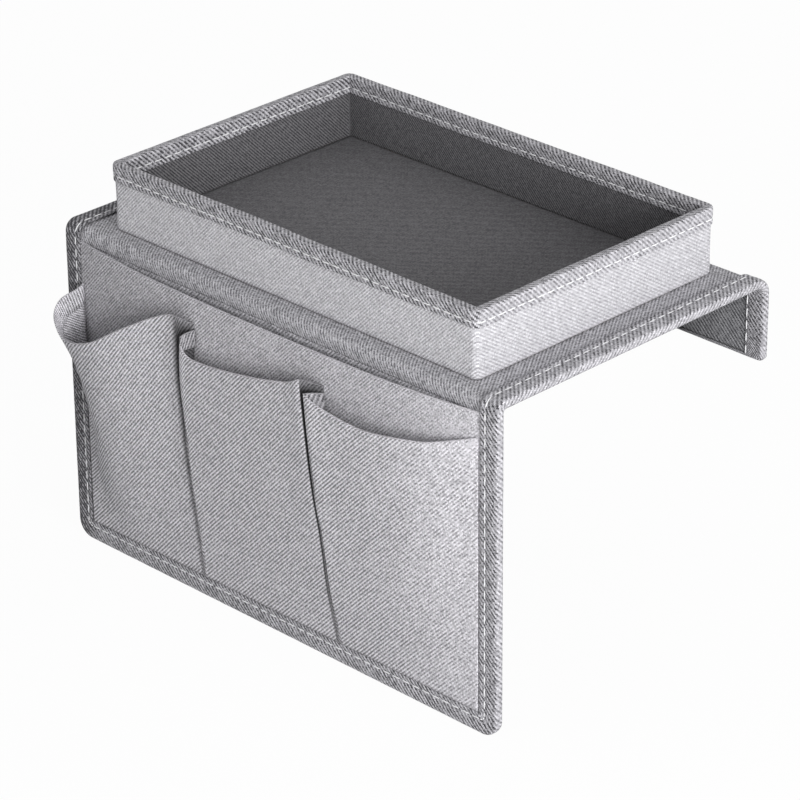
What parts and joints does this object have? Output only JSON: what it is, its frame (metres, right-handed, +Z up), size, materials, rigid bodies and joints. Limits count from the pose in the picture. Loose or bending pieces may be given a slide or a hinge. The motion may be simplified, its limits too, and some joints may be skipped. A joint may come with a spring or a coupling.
{
  "type": "armrest organizer",
  "caption": "Fabric saddle that hangs over a sofa arm, with an open tray on top, bulged front pockets, a magazine pocket and a short back flap.",
  "frame": {"origin": "middle of the top panel's underside, which lies on the arm", "axes": "+X to the right as seen from the pockets' side, +Y from the front panel to the back flap, +Z up"},
  "size_m": [0.32, 0.2277, 0.228],
  "materials": {
    "outer_fabric": "heathered grey twill, matt",
    "binding_fabric": "the same twill as folded tape, darker, with white topstitching",
    "lining_fabric": "dark grey woven lining, matt",
    "stiffener_board": "brown pressed fibreboard, matt, hidden inside the cloth"
  },
  "bodies": {
    "saddle_top": {"top_outer_cloth": "outer_fabric", "top_board": "stiffener_board", "top_lining": "lining_fabric", "top_left_binding": "binding_fabric", "top_right_binding": "binding_fabric", "front_fold_cloth": "outer_fabric", "front_fold_lining": "lining_fabric", "front_fold_left_binding": "binding_fabric", "front_fold_right_binding": "binding_fabric", "back_fold_cloth": "outer_fabric", "back_fold_lining": "lining_fabric", "back_fold_left_binding": "binding_fabric", "back_fold_right_binding": "binding_fabric", "tray_outer_cloth": "outer_fabric", "tray_front_board": "stiffener_board", "tray_back_board": "stiffener_board", "tray_left_board": "stiffener_board", "tray_right_board": "stiffener_board", "tray_floor_board": "stiffener_board", "tray_wall_lining": "lining_fabric", "tray_floor_lining": "lining_fabric", "tray_rim_hem": "binding_fabric"},
    "front_panel": {"front_outer_cloth": "outer_fabric", "front_board": "stiffener_board", "front_lining": "lining_fabric", "front_binding": "binding_fabric", "magazine_pocket": "outer_fabric", "remote_pocket": "outer_fabric", "middle_pocket": "outer_fabric", "right_pocket": "outer_fabric"},
    "back_flap": {"flap_outer_cloth": "outer_fabric", "flap_board": "stiffener_board", "flap_lining": "lining_fabric", "flap_binding": "binding_fabric"}
  },
  "joints": [
    {"name": "front_fold", "type": "hinge", "parent": "saddle_top", "child": "front_panel", "pos_m": [0, -0.095, -0.0022], "axis": [-1, 0, 0], "range_deg": [-84, 90], "deforming": ["front_fold_cloth", "front_fold_lining", "front_fold_left_binding", "front_fold_right_binding"]},
    {"name": "back_fold", "type": "hinge", "parent": "saddle_top", "child": "back_flap", "pos_m": [0, 0.095, -0.0052], "axis": [1, 0, 0], "range_deg": [-90, 90], "deforming": ["back_fold_cloth", "back_fold_lining", "back_fold_left_binding", "back_fold_right_binding"]}
  ]
}
